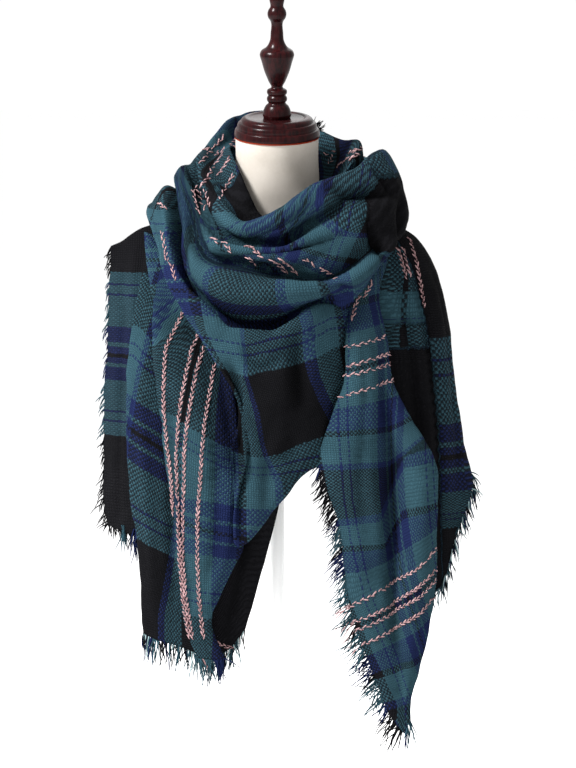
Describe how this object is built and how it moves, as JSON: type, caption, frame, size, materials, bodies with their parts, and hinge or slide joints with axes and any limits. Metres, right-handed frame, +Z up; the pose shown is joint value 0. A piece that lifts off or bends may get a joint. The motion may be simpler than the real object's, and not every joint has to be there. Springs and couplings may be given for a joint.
{
  "type": "blanket scarf on a dress form",
  "caption": "Large square plaid blanket scarf with fringed edges, wound as a loose cowl with pointed tails on a limbless linen dress form with a turned neck cap, pole and round base.",
  "frame": {"origin": "centre of the base's underside, below the neck's upright axis", "axes": "+Z up the pole, -Y to the front where the cowl and the pointed apron hang, +X to the wearer's left where the long tail hangs"},
  "size_m": [0.5134, 0.3263, 1.1265],
  "materials": {
    "cowl_front": "brushed woollen weave, matt",
    "collar_back": "brushed woollen weave, matt",
    "swag_front": "brushed woollen weave, matt",
    "front_apron": "brushed woollen weave, matt",
    "under_apron": "brushed woollen weave, matt",
    "left_fall": "brushed woollen weave, matt",
    "right_tail": "brushed woollen weave, matt",
    "right_fall": "brushed woollen weave, matt",
    "back_fall": "brushed woollen weave, matt",
    "fringe_collar": "brushed woollen weave, matt",
    "fringe_left_fall": "brushed woollen weave, matt",
    "fringe_under_apron": "brushed woollen weave, matt",
    "fringe_front_apron": "brushed woollen weave, matt",
    "fringe_right_tail": "brushed woollen weave, matt",
    "fringe_right_fall": "brushed woollen weave, matt",
    "fringe_back": "brushed woollen weave, matt",
    "form_bust": "cream linen cover, matt",
    "neck_cap": "dark mahogany stain, satin varnish",
    "finial": "dark mahogany stain, gloss varnish",
    "pole": "white enamel, satin",
    "base": "white enamel, satin"
  },
  "bodies": {
    "root": {"cowl_front": "cowl_front", "collar_back": "collar_back", "swag_front": "swag_front", "front_apron": "front_apron", "under_apron": "under_apron", "left_fall": "left_fall", "right_tail": "right_tail", "right_fall": "right_fall", "back_fall": "back_fall", "fringe_collar": "fringe_collar", "fringe_left_fall": "fringe_left_fall", "fringe_under_apron": "fringe_under_apron", "fringe_front_apron": "fringe_front_apron", "fringe_right_tail": "fringe_right_tail", "fringe_right_fall": "fringe_right_fall", "fringe_back": "fringe_back", "form_bust": "form_bust", "neck_cap": "neck_cap", "finial": "finial", "pole": "pole", "base": "base"}
  },
  "joints": []
}
